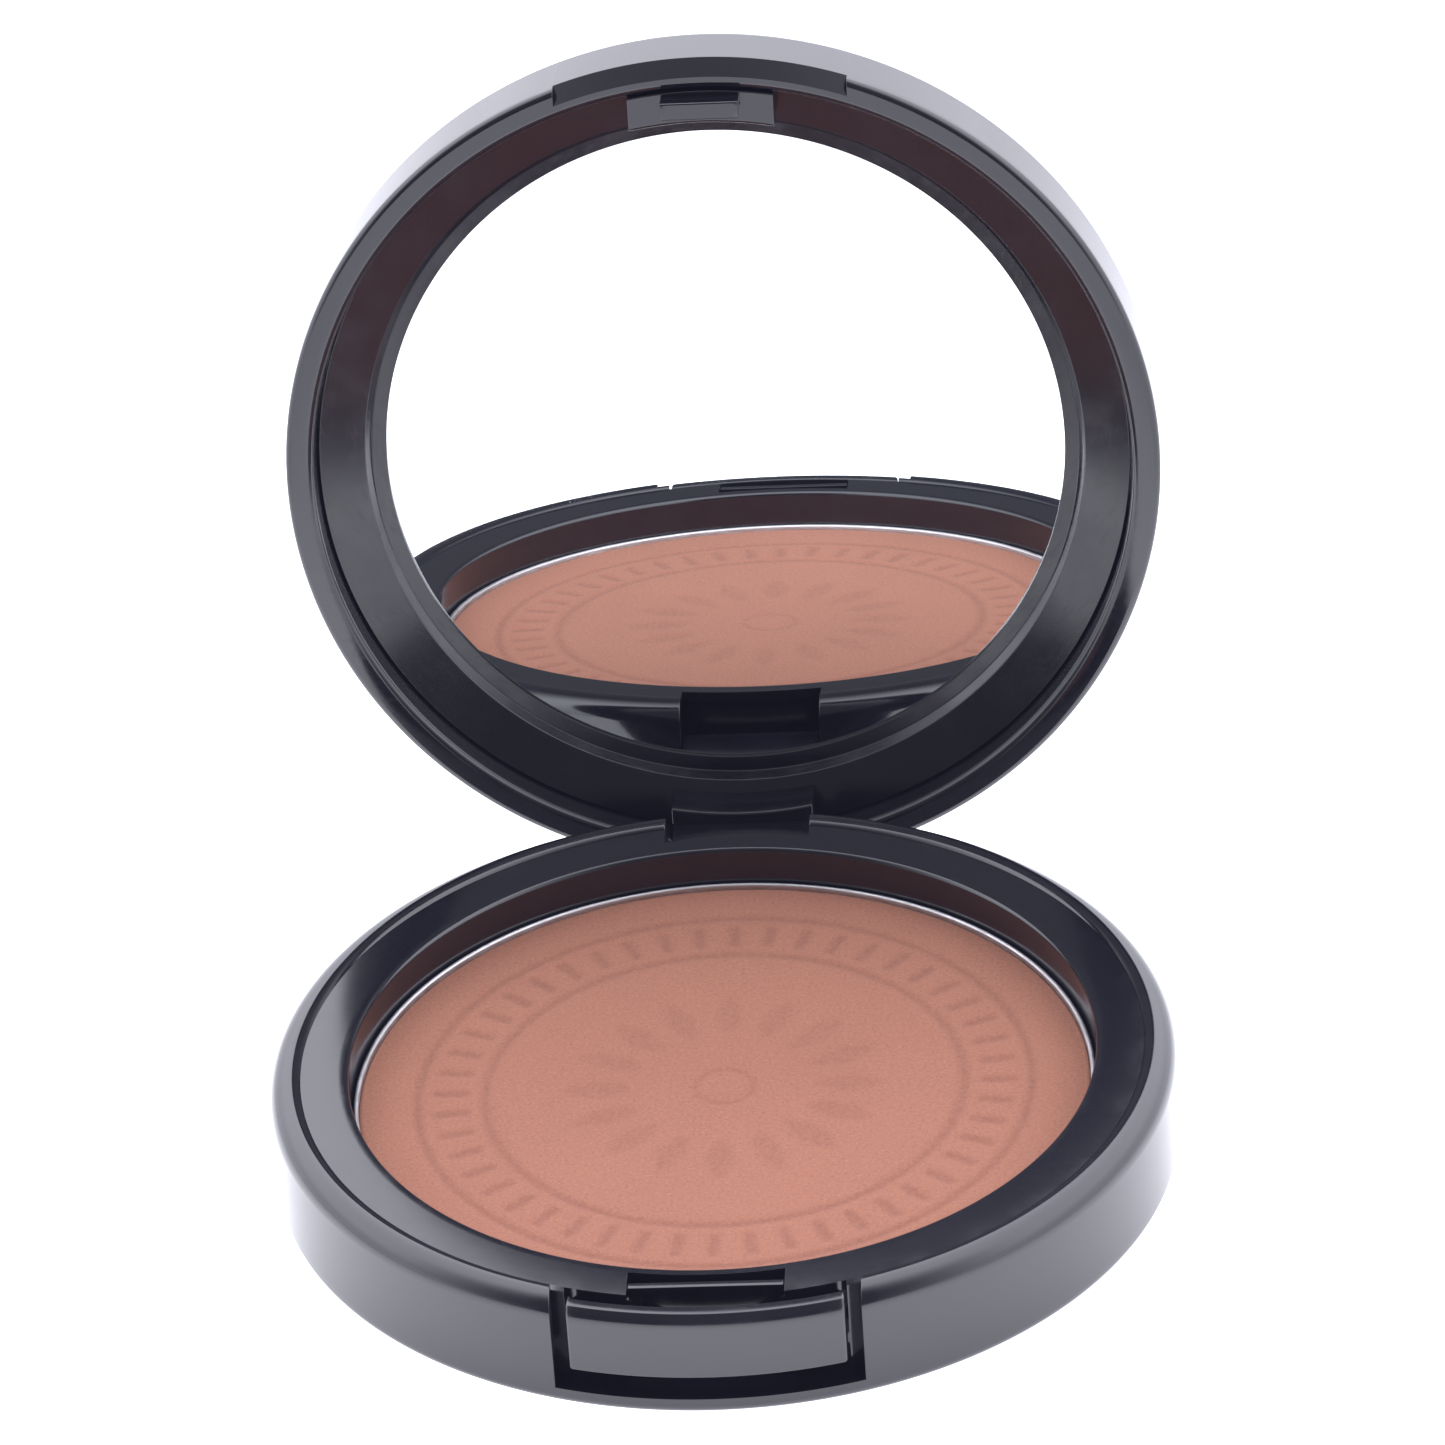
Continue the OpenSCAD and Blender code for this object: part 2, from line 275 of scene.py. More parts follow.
def bar(shape, outline, x0, x1, fillet, place, step=0.6):
    """A closed outline carried along x from x0 to x1, its ends rounded over by `fillet`."""
    wear = bends(outline, True)
    turns, stations = 4, []
    for i in range(turns + 1):
        phi = math.pi / 2 * i / turns
        stations.append((fillet * (1 - math.cos(phi)), fillet * (1 - math.sin(phi))))
    length = x1 - x0
    inner = max(1, int((length - 2 * fillet) / step))
    run = [(x0 + d, draw) for d, draw in stations]
    run += [(x0 + fillet + (length - 2 * fillet) * i / inner, 0.0) for i in range(1, inner)]
    run += [(x1 - d, draw) for d, draw in reversed(stations)]
    rows = []
    for x, draw in run:
        ring = drawn_in(outline, draw, True) if draw > 0 else outline
        worn = min(1.0, draw * 20)
        rows.append([shape.point(*place(x, u, v), max(w, worn)) for (u, v), w in zip(ring, wear)])
    for a, b in zip(rows, rows[1:]):
        for k in range(len(outline)):
            k1 = (k + 1) % len(outline)
            shape.face([a[k], b[k], b[k1], a[k1]])
    shape.face(rows[0])
    shape.face(rows[-1][::-1])


def curved(side, limit=None):
    """Places (radius, height) so that the piece follows the round wall on the front or rear."""

    def place(x, r, z):
        y = side * math.sqrt(max(r * r - x * x, 0.0))
        return (x, min(y, limit) if limit is not None else y, z)

    return place


def straight(outer=None):
    """Places (depth, height) as it is, trimmed to stay inside a round wall."""

    def place(x, y, z):
        if outer is not None:
            most = math.sqrt(outer * outer - x * x)
            y = max(-most, min(most, y))
        return (x, y, z)

    return place


def box_outline(u0, u1, v0, v1, radius):
    return rounded([(u0, v0, radius), (u1, v0, radius), (u1, v1, radius), (u0, v1, radius)], 3)


# --------------------------------------------------------------------------
# materials
# --------------------------------------------------------------------------


class Nodes:
    def __init__(self, name):
        self.mat = bpy.data.materials.new(name)
        self.mat.use_nodes = True
        self.tree = self.mat.node_tree
        self.bsdf = self.tree.nodes["Principled BSDF"]
        self.coords = self.add("ShaderNodeTexCoord")

    def add(self, kind, **values):
        node = self.tree.nodes.new(kind)
        for key, value in values.items():
            setattr(node, key, value)
        return node

    def link(self, a, b):
        self.tree.links.new(a, b)

    def set(self, **values):
        for key, value in values.items():
            self.bsdf.inputs[key.replace("_", " ")].default_value = value

    def noise(self, scale, detail=2.0, rough=0.5, stretch=None, distortion=0.0):
        node = self.add("ShaderNodeTexNoise")
        node.inputs["Scale"].default_value = scale
        node.inputs["Detail"].default_value = detail
        node.inputs["Roughness"].default_value = rough
        node.inputs["Distortion"].default_value = distortion
        if stretch:
            mapping = self.add("ShaderNodeMapping")
            mapping.inputs["Scale"].default_value = stretch
            mapping.inputs["Rotation"].default_value = (0.3, 0.2, 0.6)
            self.link(self.coords.outputs["Object"], mapping.inputs["Vector"])
            self.link(mapping.outputs["Vector"], node.inputs["Vector"])
        else:
            self.link(self.coords.outputs["Object"], node.inputs["Vector"])
        return node.outputs["Fac"]

    def span(self, value, low, high, to_low, to_high):
        node = self.add("ShaderNodeMapRange")
        node.inputs["From Min"].default_value = low
        node.inputs["From Max"].default_value = high
        node.inputs["To Min"].default_value = to_low
        node.inputs["To Max"].default_value = to_high
        self.link(value, node.inputs["Value"])
        return node.outputs["Result"]

    def ramp(self, value, stops):
        node = self.add("ShaderNodeValToRGB")
        ends = node.color_ramp.elements
        while len(ends) < len(stops):
            ends.new(0.5)
        for element, (place, colour) in zip(ends, stops):
            element.position = place
            element.color = (*colour, 1.0)
        self.link(value, node.inputs["Fac"])
        return node.outputs["Color"]

    def math(self, op, a, b):
        node = self.add("ShaderNodeMath", operation=op)
        for socket, value in zip(node.inputs, (a, b)):
            if isinstance(value, (int, float)):
                socket.default_value = value
            else:
                self.link(value, socket)
        return node.outputs["Value"]

    def mix(self, factor, a, b, blend="MIX"):
        node = self.add("ShaderNodeMix", data_type="RGBA", blend_type=blend)
        if isinstance(factor, (int, float)):
            node.inputs[0].default_value = factor
        else:
            self.link(factor, node.inputs[0])
        for index, value in ((6, a), (7, b)):
            if isinstance(value, tuple):
                node.inputs[index].default_value = (*value, 1.0)
            else:
                self.link(value, node.inputs[index])
        return node.outputs[2]

    def bump(self, height, strength, distance, chain=None):
        node = self.add("ShaderNodeBump")
        node.inputs["Strength"].default_value = strength
        node.inputs["Distance"].default_value = distance
        self.link(height, node.inputs["Height"])
        if chain:
            self.link(chain, node.inputs["Normal"])
        return node.outputs["Normal"]

    def attribute(self, name):
        node = self.add("ShaderNodeAttribute", attribute_name=name)
        return node.outputs["Fac"]

    def out(self, socket, value):
        self.link(value, self.bsdf.inputs[socket])


def black_plastic(name, tint, rough, grain=0.6):
    """Moulded black plastic: polished, with faint flow marks, hairlines, dust and softened edges."""
    m = Nodes(name)
    flow = m.noise(45.0, 3.0)
    dust = m.noise(5200.0, 2.0, 0.7)
    hair = m.noise(900.0, 2.0, 0.5, stretch=(1.0, 14.0, 1.0))
    base = m.ramp(flow, [(0.3, tuple(c * 0.85 for c in tint)), (0.7, tuple(c * 1.15 for c in tint))])
    specks = m.span(dust, 0.74, 0.80, 0.0, 0.35)
    colour = m.mix(specks, base, (0.03, 0.03, 0.033))
    worn = m.math("MULTIPLY", m.attribute("edge"), m.span(m.noise(260.0, 4.0), 0.45, 0.7, 0.0, 0.35))
    m.out("Base Color", m.mix(worn, colour, tuple(c * 1.6 + 0.003 for c in tint)))
    r = m.span(flow, 0.25, 0.75, rough * 0.8, rough * 1.2)
    r = m.math("ADD", r, m.span(hair, 0.55, 0.75, 0.0, 0.05))
    r = m.math("ADD", r, m.math("MULTIPLY", worn, 0.15))
    m.out("Roughness", r)
    soft = m.bump(m.noise(140.0, 2.0), 0.12, 0.00004)
    m.out("Normal", m.bump(hair, 0.05 * grain, 0.00002, soft))
    m.set(IOR=1.62)
    return m.mat


POWDER_TINTS = (0.324, 0.1385, 0.089), (0.344, 0.1475, 0.094)


def powder_material():
    """Pressed powder: matte terracotta with fine grain, pale and dark specks, and painted shade in its
    grooves.
    """
    m = Nodes("pressed_powder")
    cloud = m.noise(70.0, 4.0, 0.6)
    grain = m.noise(3800.0, 3.0, 0.75)
    fine = m.noise(9500.0, 2.0, 0.7)
    shades = []
    for gain in (0.87, 1.13):
        low, high = (tuple(c * gain for c in tint) for tint in POWDER_TINTS)
        shades.append(m.ramp(cloud, [(0.30, low), (0.70, high)]))
    base = m.mix(m.span(grain, 0.32, 0.68, 0.0, 1.0), *shades)
    specked = m.mix(m.span(grain, 0.60, 0.78, 0.0, 0.5), base, (0.42, 0.225, 0.17))
    specked = m.mix(m.span(grain, 0.40, 0.22, 0.0, 0.5), specked, (0.17, 0.070, 0.050))
    # painted shade: the powder colour is pulled towards a deep brown where the pressed pattern is deep,
    # standing in for shade in the grooves
    groove = m.span(m.attribute("groove"), 0.0, 1.0, 0.0, 0.34)
    m.out("Base Color", m.mix(groove, specked, (0.15, 0.055, 0.040)))
    m.out("Roughness", m.span(fine, 0.3, 0.7, 0.78, 0.95))
    m.out("Normal", m.bump(fine, 0.35, 0.00006, m.bump(grain, 0.35, 0.0001)))
    m.set(**{"Specular_IOR_Level": 0.22, "Sheen_Weight": 0.06, "Sheen_Roughness": 0.5})
    return m.mat


def metal_material(name, colour, rough, stretch, scale=700.0):
    m = Nodes(name)
    lines = m.noise(scale, 3.0, 0.6, stretch=stretch)
    blotch = m.noise(120.0, 3.0)
    m.out("Base Color", m.ramp(blotch, [(0.3, tuple(c * 0.88 for c in colour)), (0.7, colour)]))
    m.out("Roughness", m.span(lines, 0.3, 0.7, rough * 0.7, rough * 1.3))
    m.out("Normal", m.bump(lines, 0.15, 0.00003))
    m.set(Metallic=1.0)
    return m.mat


def mirror_material():
    """Silvered glass with a trace of haze and a few faint wipe marks."""
    m = Nodes("silvered_glass")
    wipe = m.noise(60.0, 4.0, 0.6, stretch=(1.0, 3.0, 1.0), distortion=0.6)
    dust = m.noise(2600.0, 2.0, 0.7)
    m.out("Base Color", m.ramp(wipe, [(0.3, (0.90, 0.925, 0.925)), (0.7, (0.93, 0.95, 0.95))]))
    r = m.span(wipe, 0.45, 0.8, 0.004, 0.02)
    m.out("Roughness", m.math("ADD", r, m.span(dust, 0.76, 0.82, 0.0, 0.12)))
    m.set(Metallic=1.0)
    return m.mat


def paper_material(name, low, high, rough):
    m = Nodes(name)
    pulp = m.noise(420.0, 5.0, 0.7)
    fibre = m.noise(1500.0, 3.0, 0.6, stretch=(1.0, 6.0, 1.0))
    m.out("Base Color", m.ramp(pulp, [(0.3, low), (0.7, high)]))
    m.out("Roughness", m.span(fibre, 0.3, 0.7, rough - 0.1, rough))
    m.out("Normal", m.bump(fibre, 0.25, 0.00005))
    return m.mat


GLOW_NEAR, GLOW_FAR = 0.05, 0.14           # metres from the middle between which the glow fades
GLOW_BRIGHT, GLOW_DIM = 1.35, 0.35


def floor_material():
    """A white light table: evenly pale, glowing a little more in the middle."""
    m = Nodes("pale_floor")
    m.out("Base Color", m.ramp(m.noise(9.0, 3.0), [(0.3, (0.795, 0.795, 0.8)), (0.7, (0.805, 0.805, 0.81))]))
    reach = m.add("ShaderNodeVectorMath", operation="LENGTH")
    m.link(m.coords.outputs["Object"], reach.inputs[0])
    m.out("Emission Strength", m.span(reach.outputs["Value"], GLOW_NEAR, GLOW_FAR, GLOW_BRIGHT, GLOW_DIM))
    m.set(**{"Roughness": 0.9, "Emission_Color": (0.97, 0.975, 1.06, 1.0)})
    return m.mat


SHELL = black_plastic("black_shell_plastic", (0.0058, 0.0060, 0.0096), 0.11)
TRAY = black_plastic("black_tray_plastic", (0.0055, 0.0057, 0.0092), 0.13)
BUTTON = black_plastic("black_button_plastic", (0.0060, 0.0062, 0.0098), 0.14)
POWDER = powder_material()
PAN = metal_material("drawn_aluminium", (0.66, 0.65, 0.66), 0.5, (1.0, 1.0, 9.0))
MIRROR = mirror_material()
FLOOR = floor_material()

# --------------------------------------------------------------------------
# base
# --------------------------------------------------------------------------
R = 36.5                                   # outside of the base and of the lid
BASE_H = 9.7                               # top of the base's rim
RIM_IN = 34.0                              # inside of the base's wall and rim
RIM_ROUND = 1.8                            # outer edge of the rim
SHOULDER_W, SHOULDER_ROUND = 0.7, 0.9      # soft inner edge of the rim
FOOT_ROUND = 0.9
SILL_Z, FLOOR_TOP = 1.5, 1.3               # foot of the two cut-outs, top of the floor
LABEL_R, LABEL_T = 26.5, 0.12              # recess for the label
NOTCH_HALF, KNUCKLE_HALF = 12.0, 6.05      # half widths of the cut-outs, front and rear
ROOT_Z = FLOOR_TOP - 0.15                  # where posts and ears start, inside the floor


def rim_edge(start, stop, steps):
    """The rounded outer edge of the rim, which the button follows too."""
    return arc(R - RIM_ROUND, BASE_H - RIM_ROUND, RIM_ROUND, start, stop, steps)


shoulder_turn = math.degrees(math.asin(SHOULDER_W / SHOULDER_ROUND))
shoulder = arc(RIM_IN + SHOULDER_W, BASE_H - SHOULDER_ROUND, SHOULDER_ROUND, 90, 90 + shoulder_turn, 9)
sill_out, sill_in = (R, SILL_Z), (RIM_IN, SILL_Z)
low = [(0.0, LABEL_T), (LABEL_R, LABEL_T), (LABEL_R, 0.0)]
low += arc(R - FOOT_ROUND, FOOT_ROUND, FOOT_ROUND, -90, 0, 12)
high = rim_edge(0, 90, 22) + shoulder
profile = low + [sill_out, sill_out] + high + [sill_in, sill_in, (RIM_IN, FLOOR_TOP), (0.0, FLOOR_TOP)]
first, last = len(low), len(low) + 2 + len(high) + 1
shell = Shape()
button_cut = Notch(-1, NOTCH_HALF, first, last, RIM_IN)
knuckle_cut = Notch(1, KNUCKLE_HALF, first, last, RIM_IN)
lathe(shell, profile, [button_cut, knuckle_cut])
ear = box_outline(32.0, 36.1, ROOT_Z, 6.2, 0.3)
post = box_outline(-32.2, -30.2, ROOT_Z, 5.7, 0.2)
cheek = [(34.0, FLOOR_TOP), (34.8, FLOOR_TOP), (34.8, 9.45), (34.75, 9.5), (34.15, 9.5), (34.0, 9.36)]
for s in (-1, 1):
    bar(shell, ear, *sorted((s * 6.1, s * 9.6)), 0.15, straight(36.1))
    bar(shell, post, *sorted((s * 8.7, s * 11.0)), 0.15, straight())
    bar(shell, cheek, *sorted((s * 10.9, s * 12.1)), 0.03, curved(-1))
spring_ledge = box_outline(-33.2, -31.5, ROOT_Z, 4.1, 0.2)
bar(shell, spring_ledge, -6.5, 6.5, 0.15, straight())
shell.build("base_shell_visual", "base", "shell_plastic", SHELL, ["base_shell"])

# the tray: a well for the pan with a flat collar that fills the rim
COLLAR_TOP, COLLAR_UNDER = 9.35, 8.5
COLLAR_R = 33.97                           # outside of the collar
WELL_R, WELL_OUT, WELL_FLOOR = 30.1, 31.0, 2.5
WELL_ROUND = 0.4                           # edge between the collar and the well
REAR_REACH = 32.0                          # where the rear cut-out in the collar ends
SLOT_HALF = 6.1                            # half width of the slot for the latch

under = [(r, COLLAR_UNDER) for r in (WELL_OUT, WELL_OUT, REAR_REACH, REAR_REACH, COLLAR_R)]
over = [(r, COLLAR_TOP) for r in (COLLAR_R, REAR_REACH, REAR_REACH, WELL_OUT, WELL_OUT)]
collar = under + over
head = [(0.0, FLOOR_TOP), (WELL_OUT, FLOOR_TOP)]
well = arc(WELL_R + WELL_ROUND, COLLAR_TOP - WELL_ROUND, WELL_ROUND, 90, 180, 9)
well += [(WELL_R, WELL_FLOOR), (0.0, WELL_FLOOR)]
start, stop = len(head), len(head) + len(collar) - 1
front_slot = Notch(-1, SLOT_HALF, start, stop, WELL_OUT, 0.03)
rear_slot = Notch(1, KNUCKLE_HALF, start + 2, stop - 2, REAR_REACH, 0.1)
tray = Shape()
lathe(tray, head + collar + well, [front_slot, rear_slot])
tray.build("base_tray_visual", "base", "tray_plastic", TRAY, ["base_tray"])

# the pan and the pressed powder in it
PAN_R, PAN_TOP, PAN_UNDER = 29.95, 6.15, 2.65
PAN_T, PAN_ROUND = 0.4, 0.6                # thickness, and rounding of its bottom edge
PAN_FLOOR = PAN_UNDER + PAN_T

pan = Shape()
pan_profile = [(0.0, PAN_UNDER), (PAN_R - PAN_ROUND, PAN_UNDER)]
pan_profile += arc(PAN_R - PAN_ROUND, PAN_UNDER + PAN_ROUND, PAN_ROUND, -90, 0, 8)
pan_profile += arc(PAN_R - PAN_T / 2, PAN_TOP - PAN_T / 2, PAN_T / 2, 0, 180, 10)
pan_profile += [(PAN_R - PAN_T, PAN_FLOOR), (0.0, PAN_FLOOR)]
lathe(pan, pan_profile)
pan.build("pan_visual", "base", "pan_metal", PAN, ["pan"], sharp=40.0)

CAKE_R, CAKE_TOP = 29.53, 5.78
CAKE_ROUND = 0.33                          # worn edge of the powder
PRESS_DEPTH = 0.12                         # depth of the pressed pattern
RING_IN, RING_OUT = 19.4, 24.9             # the two pressed rings
DASH_IN, DASH_OUT, DASH_HALF = 20.7, 23.6, 0.42
DASHES, DIMPLES = 48, 16
DIMPLE_AT, DIMPLE_ROUND, DIMPLE_APART = 10.2, 4.2, 3.1   # each is where two discs overlap
CENTRE_R = 2.37                            # the small circle in the middle


def soft_line(distance, half):
    return math.exp(-((distance / half) ** 2))


def soft_step(distance, width):
    return 1 / (1 + math.exp(max(-40.0, min(40.0, distance / width))))


def groove(x, y):
    """How deep the pressed pattern is here, from 0 to 1: two rings, dashes between them, dimples."""
    r, t = math.hypot(x, y), math.atan2(y, x)
    rings = max(soft_line(r - RING_IN, 0.45), soft_line(r - RING_OUT, 0.40))
    pitch = 2 * math.pi / DASHES
    off = abs(t / pitch - round(t / pitch)) * pitch * r
    within = soft_step(DASH_IN - r, 0.12) * soft_step(r - DASH_OUT, 0.12)
    dash = soft_step(off - DASH_HALF, 0.12) * within
    pitch = 2 * math.pi / DIMPLES
    turn = t - round(t / pitch) * pitch
    u, v = r * math.cos(turn) - DIMPLE_AT, r * math.sin(turn)
    outside = max(math.hypot(u, v - DIMPLE_APART), math.hypot(u, v + DIMPLE_APART)) - DIMPLE_ROUND
    dimple = soft_step(outside, 0.16)
    return max(0.8 * rings, 0.9 * dash, 0.45 * dimple, 0.5 * soft_line(r - CENTRE_R, 0.30))


def cake():
    """The powder: a fine grid that carries the pressed pattern, then its edge, side and underside."""
    shape, marks = Shape(), []
    spokes, rings = 672, 160
    flat_r = CAKE_R - CAKE_ROUND

    def circle(r, height):
        """One row of points; `height` gives their height and how deep in the pattern they are."""
        row = []
        for j in range(spokes):
            t = 2 * math.pi * j / spokes
            x, y = r * math.sin(t), -r * math.cos(t)
            z, g = height(x, y)
            before = len(shape.points)
            row.append(shape.point(x, y, z))
            if len(shape.points) > before:
                marks.append(g)
        return row

    def pressed(x, y):
        g = groove(x, y)
        swell = 0.02 * math.sin(x * 0.31 + 1.0) * math.sin(y * 0.27) - 0.02
        return CAKE_TOP + swell - PRESS_DEPTH * g, g

    rows = [circle(flat_r * i / rings, pressed) for i in range(rings + 1)]
    edge = arc(flat_r, CAKE_TOP - CAKE_ROUND, CAKE_ROUND, 90, 0, 6)[1:]
    for r, z in edge + [(CAKE_R, PAN_FLOOR), (0.0, PAN_FLOOR)]:
        rows.append(circle(r, lambda x, y, z=z: (z, 0.0)))
    for a, b in zip(rows, rows[1:]):
        for j in range(spokes):
            k = (j + 1) % spokes
            shape.face([a[j], a[k], b[k], b[j]])
    obj = shape.build("powder_cake_visual", "base", "powder", POWDER, ["powder_cake"], sharp=60.0)
    # the pattern's depth at each point, which the powder material uses to paint shade into the grooves
    layer = obj.data.attributes.new("groove", "FLOAT", "POINT")
    layer.data.foreach_set("value", marks)


cake()

# --------------------------------------------------------------------------
# button
# --------------------------------------------------------------------------
PLATE_IN, PLATE_HALF = 34.9, 10.8          # inner face and half width of the button's plate
PLATE_Z0, PLATE_Z1 = 3.4, 9.2
CATCH_Y0, CATCH_Y1 = -32.5, -31.8          # the catch bar and its feet, front and back
ARM_Z0, ARM_Z1, LINK_Z0 = 5.8, 8.2, 7.2
CATCH_HALF = 6.0
WING_Y0, ARM_BACK = -31.3, -30.5

top_turn = math.degrees(math.asin((PLATE_Z1 - BASE_H + RIM_ROUND) / RIM_ROUND))
brow = rim_edge(0, top_turn, 12)
plate = [(PLATE_IN, PLATE_Z0, 0.2), (R, PLATE_Z0, 0.3)] + [(r, z, 0) for r, z in brow[:-1]]
plate = rounded(plate + [(*brow[-1], 0.1), (PLATE_IN, PLATE_Z1, 0.2)], 4)
catch = box_outline(CATCH_Y0, CATCH_Y1, 8.7, 9.3, 0.05)
foot = box_outline(CATCH_Y0 + 0.05, CATCH_Y1 - 0.05, LINK_Z0, 8.85, 0.05)
arm = box_outline(-34.4, ARM_BACK, ARM_Z0, ARM_Z1, 0.1)
wing = box_outline(WING_Y0, ARM_BACK, ARM_Z0, ARM_Z1, 0.1)
link = box_outline(CATCH_Y0, CATCH_Y1, LINK_Z0, ARM_Z1, 0.1)
button = Shape()
bar(button, plate, -PLATE_HALF, PLATE_HALF, 0.3, curved(-1), 0.5)
bar(button, catch, -CATCH_HALF, CATCH_HALF, 0.05, straight())
for s in (-1, 1):
    for outline, x0, x1 in ((arm, 9.4, 10.6), (wing, 10.4, 12.9), (link, 5.8, 9.6)):
        bar(button, outline, *sorted((s * x0, s * x1)), 0.08, straight())
    bar(button, foot, *sorted((s * 5.0, s * CATCH_HALF)), 0.05, straight())
button.build("push_button_visual", "button", "button_plastic", BUTTON, ["push_button"])

# --------------------------------------------------------------------------
# lid, drawn shut and then stood open
# --------------------------------------------------------------------------
LID_Z, LID_TOP, CAVITY_R = 9.8, 18.15, 34.1
CROWN_IN, CROWN_RISE, CROWN_ROUND = 16.95, 0.3, 1.5
LIP_IN_ROUND, LIP_ROUND = 0.7, 0.6
CHAMFER_IN, CHAMFER_OUT = (35.2, LID_Z), (R, LID_Z + 1.2)     # ends of the chamfer over the button
KNUCKLE_R, KNUCKLE_TOP, KNUCKLE_ROOT = R - PIN_Y, 12.8, 35.6
crown_r = R - CROWN_ROUND

inside = [(0.0, CROWN_IN), (CAVITY_R, CROWN_IN)]
inside += arc(CAVITY_R + LIP_IN_ROUND, LID_Z + LIP_IN_ROUND, LIP_IN_ROUND, 180, 270, 10) + [CHAMFER_IN]
lip = [CHAMFER_IN] + arc(R - LIP_ROUND, LID_Z + LIP_ROUND, LIP_ROUND, -90, 0, 10) + [CHAMFER_OUT]
outside = [CHAMFER_OUT] + arc(crown_r, LID_TOP - CROWN_RISE - CROWN_ROUND, CROWN_ROUND, 0, 88, 18)
crown = [(crown_r * k, LID_TOP - CROWN_RISE * k * k) for k in (1 - (i + 1) / 24 for i in range(24))]
rim_cut = Notch(-1, NOTCH_HALF, len(inside) - 1, len(inside) + len(lip), CHAMFER_IN[0], 0.1)
lid = Shape()
lathe(lid, inside + lip + outside + crown, [rim_cut])
knuckle = [(PIN_Y - KNUCKLE_R, KNUCKLE_TOP), (PIN_Y - KNUCKLE_R, PIN_Z)]
knuckle += arc(PIN_Y, PIN_Z, KNUCKLE_R, 180, 360, 16)[1:]
knuckle += [(R, 10.5), (KNUCKLE_ROOT, 11.0), (KNUCKLE_ROOT, KNUCKLE_TOP)]
bar(lid, knuckle, -5.9, 5.9, 0.15, straight(R - 0.04))
lid.build("lid_shell_visual", "lid", "shell_plastic", SHELL, ["lid_shell"], lid=True)

# the frame round the mirror: a sloping ring, a step and a lip, with a block at the latch and the hinge
FRAME_R, FRAME_TOP = 34.0, 16.9
WINDOW_R, POCKET_R, POCKET_Z = 28.5, 29.75, 15.65
BLOCK_R, BLOCK_TOP, BLOCK_HALF = 31.2, 14.4, 6.0
TONGUE_Y0, TONGUE_Y1, NUB_Y = -33.6, -32.6, -32.15
TONGUE_Z, NUB_Z, TONGUE_HALF = 8.05, 8.5, 3.2

ring = [(FRAME_R, 12.9, 0.1), (FRAME_R, FRAME_TOP, 0), (POCKET_R, FRAME_TOP, 0), (POCKET_R, POCKET_Z, 0)]
ring += [(WINDOW_R, POCKET_Z, 0), (WINDOW_R, 15.33, 0.06), (29.7, 15.1, 0.15), (30.2, 14.2, 0.25)]
bezel = Shape()
lathe(bezel, rounded(ring, 5), closed=True)
block = rounded([(BLOCK_R, BLOCK_TOP, 0), (BLOCK_R, LID_Z, 0.3),
                 (FRAME_R, LID_Z, 0.1), (FRAME_R, BLOCK_TOP, 0)], 4)
bar(bezel, block, -BLOCK_HALF, BLOCK_HALF, 0.12, curved(-1))
bar(bezel, block, -BLOCK_HALF, BLOCK_HALF, 0.12, curved(1, 32.05))
tongue = rounded([(TONGUE_Y0, LID_Z + 1, 0), (TONGUE_Y0, TONGUE_Z, 0.15), (NUB_Y, TONGUE_Z, 0.1),
                  (NUB_Y, NUB_Z, 0.08), (TONGUE_Y1, NUB_Z + 0.1, 0.03), (TONGUE_Y1, LID_Z + 1, 0)], 3)
bar(bezel, tongue, -TONGUE_HALF, TONGUE_HALF, 0.1, straight())
bezel.build("mirror_frame_visual", "lid", "tray_plastic", TRAY, ["mirror_frame"], lid=True)

GLASS_R, GLASS_Z, GLASS_T, GLASS_BEVEL = 29.65, 15.7, 1.1, 0.15
glass = Shape()
glass_profile = [(0.0, GLASS_Z), (GLASS_R - GLASS_BEVEL, GLASS_Z), (GLASS_R, GLASS_Z + GLASS_BEVEL)]
lathe(glass, glass_profile + [(GLASS_R, GLASS_Z + GLASS_T), (0.0, GLASS_Z + GLASS_T)])
glass.build("mirror_glass_visual", "lid", "mirror", MIRROR, ["mirror_glass"], lid=True)

# --------------------------------------------------------------------------
# CAD pieces that stay, with their own materials
# --------------------------------------------------------------------------
kept = {
    "hinge_pin": metal_material("drawn_steel", (0.62, 0.62, 0.63), 0.3, (12.0, 1.0, 1.0)),
    "button_spring": metal_material("spring_steel", (0.55, 0.56, 0.58), 0.32, (12.0, 1.0, 1.0)),
    "pan_adhesive": paper_material("pan_glue_pad", (0.62, 0.60, 0.54), (0.70, 0.68, 0.62), 0.8),
    "mirror_adhesive": paper_material("mirror_glue_pad", (0.66, 0.65, 0.62), (0.74, 0.73, 0.70), 0.8),
    "base_label": paper_material("label_film", (0.030, 0.030, 0.034), (0.042, 0.042, 0.046), 0.6),
}
for name, material in kept.items():
    data = frame["nodes"][name].data
    data.materials.clear()
    data.materials.append(material)

# --------------------------------------------------------------------------
# floor, light and camera
# --------------------------------------------------------------------------
bm = bmesh.new()
bmesh.ops.create_circle(bm, cap_ends=True, segments=96, radius=4.0)
floor_mesh = bpy.data.meshes.new("floor")
bm.to_mesh(floor_mesh)
bm.free()
floor = bpy.data.objects.new("floor", floor_mesh)
bpy.context.scene.collection.objects.link(floor)
floor.data.materials.append(FLOOR)

DARK_SIDE = (-0.08, -0.86, 0.50)           # where the tent is open, in front and above
DARK_EDGE, DARK_CORE = 0.25, 0.85          # cosines from that direction where it dims and is darkest
SKY_BRIGHT, SKY_DIM = 3.3, 0.20
LOW_SKY, HIGH_SKY = 0.15, 0.55             # the tent is a little dimmer near the table
LOW_GAIN = 0.68
SKY_TINT = (0.97, 0.975, 1.08, 1.0)
BLACK_LIFT = (-0.0065, -0.0068, -0.0125)   # lifts black to a faint blue haze

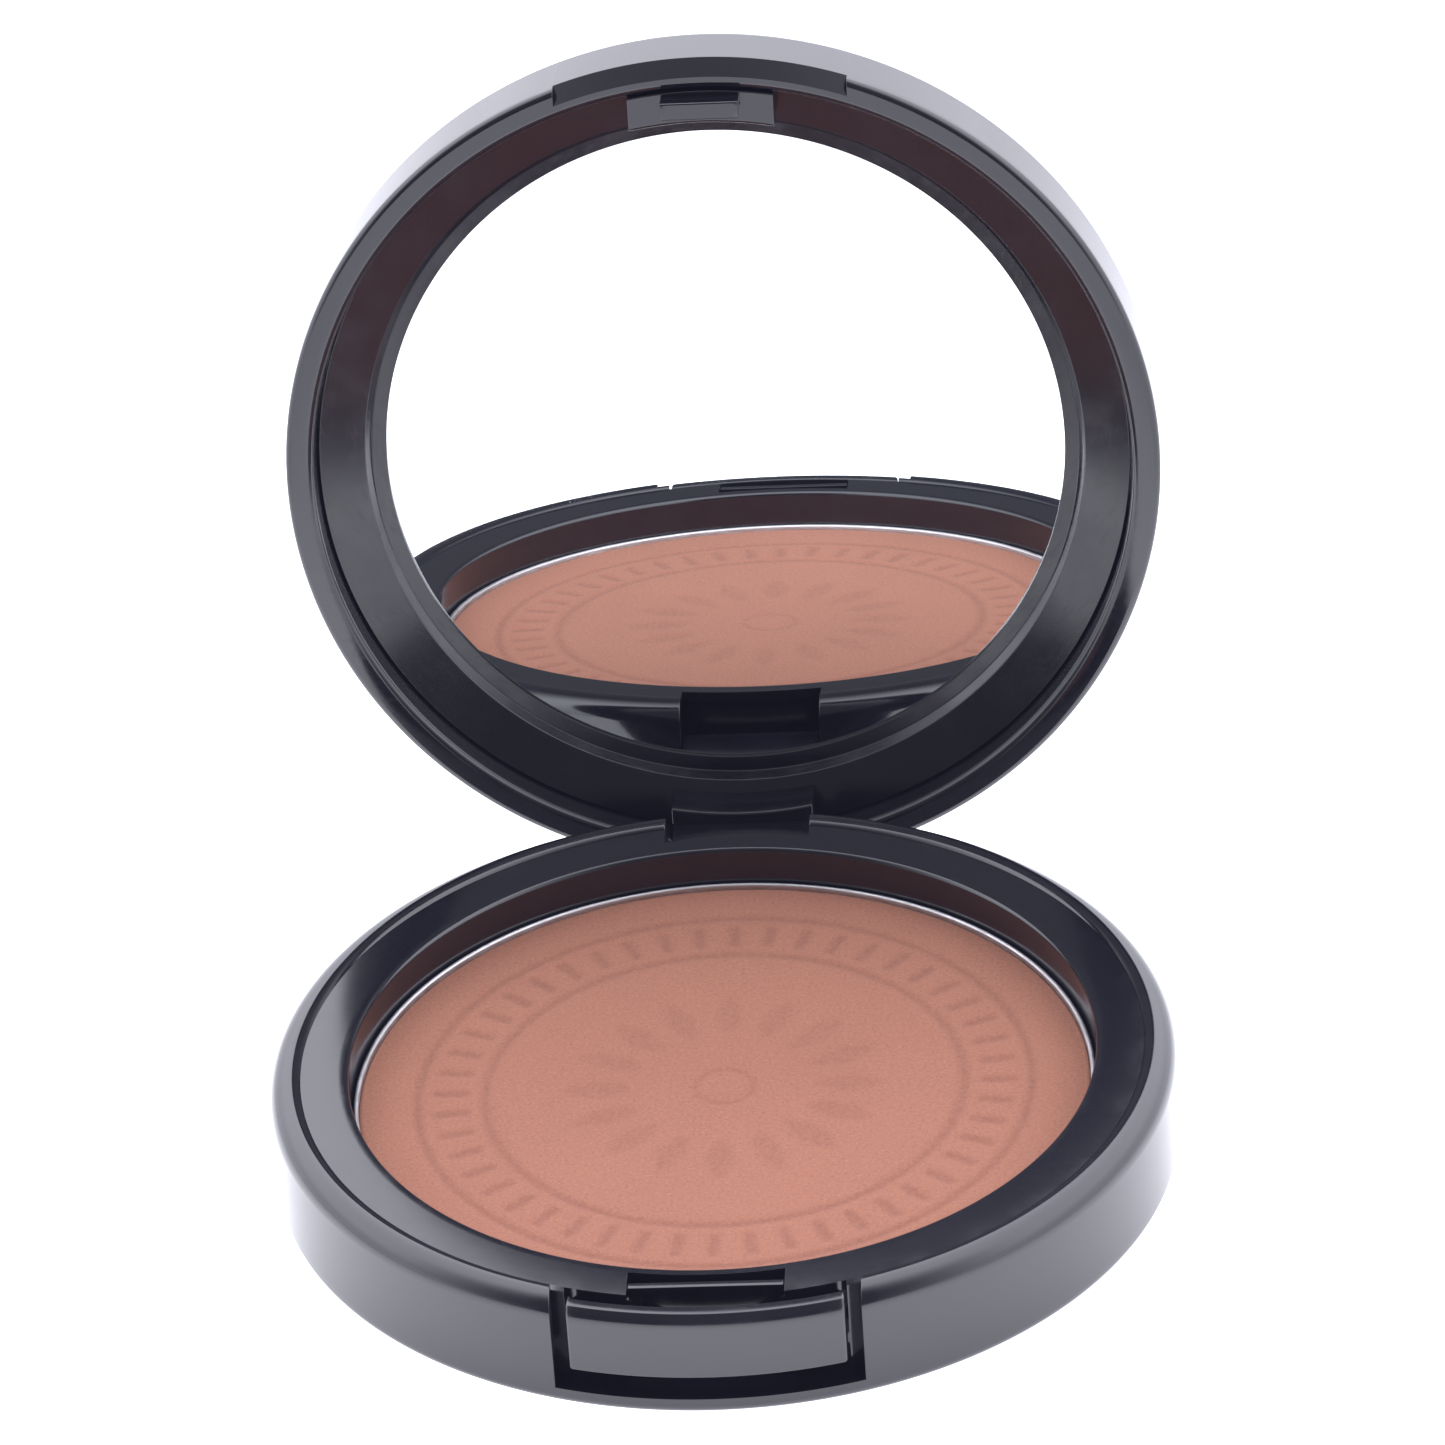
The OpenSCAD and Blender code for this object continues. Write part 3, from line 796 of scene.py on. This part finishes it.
scene = bpy.context.scene
world = bpy.data.worlds.new("soft_tent")
scene.world = world
world.use_nodes = True
tree = world.node_tree
sky = tree.nodes["Background"]
aim = tree.nodes.new("ShaderNodeTexCoord")


def along(direction, low, high, to_low, to_high):
    """A soft step in brightness along a direction of the sky."""
    dot = tree.nodes.new("ShaderNodeVectorMath")
    dot.operation = "DOT_PRODUCT"
    dot.inputs[1].default_value = direction
    step = tree.nodes.new("ShaderNodeMapRange")
    step.interpolation_type = "SMOOTHSTEP"
    for socket, value in zip(step.inputs[1:5], (low, high, to_low, to_high)):
        socket.default_value = value
    tree.links.new(aim.outputs["Generated"], dot.inputs[0])
    tree.links.new(dot.outputs["Value"], step.inputs["Value"])
    return step.outputs["Result"]


product = tree.nodes.new("ShaderNodeMath")
product.operation = "MULTIPLY"
tree.links.new(along(DARK_SIDE, DARK_EDGE, DARK_CORE, SKY_BRIGHT, SKY_DIM), product.inputs[0])
tree.links.new(along((0.0, 0.0, 1.0), LOW_SKY, HIGH_SKY, LOW_GAIN, 1.0), product.inputs[1])
tree.links.new(product.outputs["Value"], sky.inputs["Strength"])
sky.inputs["Color"].default_value = SKY_TINT
scene.view_settings.view_transform = "Standard"
scene.view_settings.look = "None"
scene.view_settings.use_curve_mapping = True
tone = scene.view_settings.curve_mapping
tone.black_level = BLACK_LIFT
tone.update()

# millimetres, aimed with its own roll
CAMERA = (41.8469, -528.9246, 364.0637)
LOOK = (-0.0642425, 0.8510710, -0.5211057)
UP = (0.0308829, 0.5236297, 0.8513860)
LENS = 7930.38 / 1445.0 * 36.0
back = -Vector(LOOK).normalized()
side = Vector(UP).cross(back).normalized()
up = back.cross(side)
turn = Matrix((side, up, back)).transposed().to_4x4()
camera_data = bpy.data.cameras.new("camera")
camera_data.sensor_width = 36.0
camera_data.lens = LENS
camera_data.clip_end = 20.0
camera = bpy.data.objects.new("camera", camera_data)
camera.matrix_world = Matrix.Translation(Vector(CAMERA) * MM) @ turn
scene.collection.objects.link(camera)
scene.camera = camera
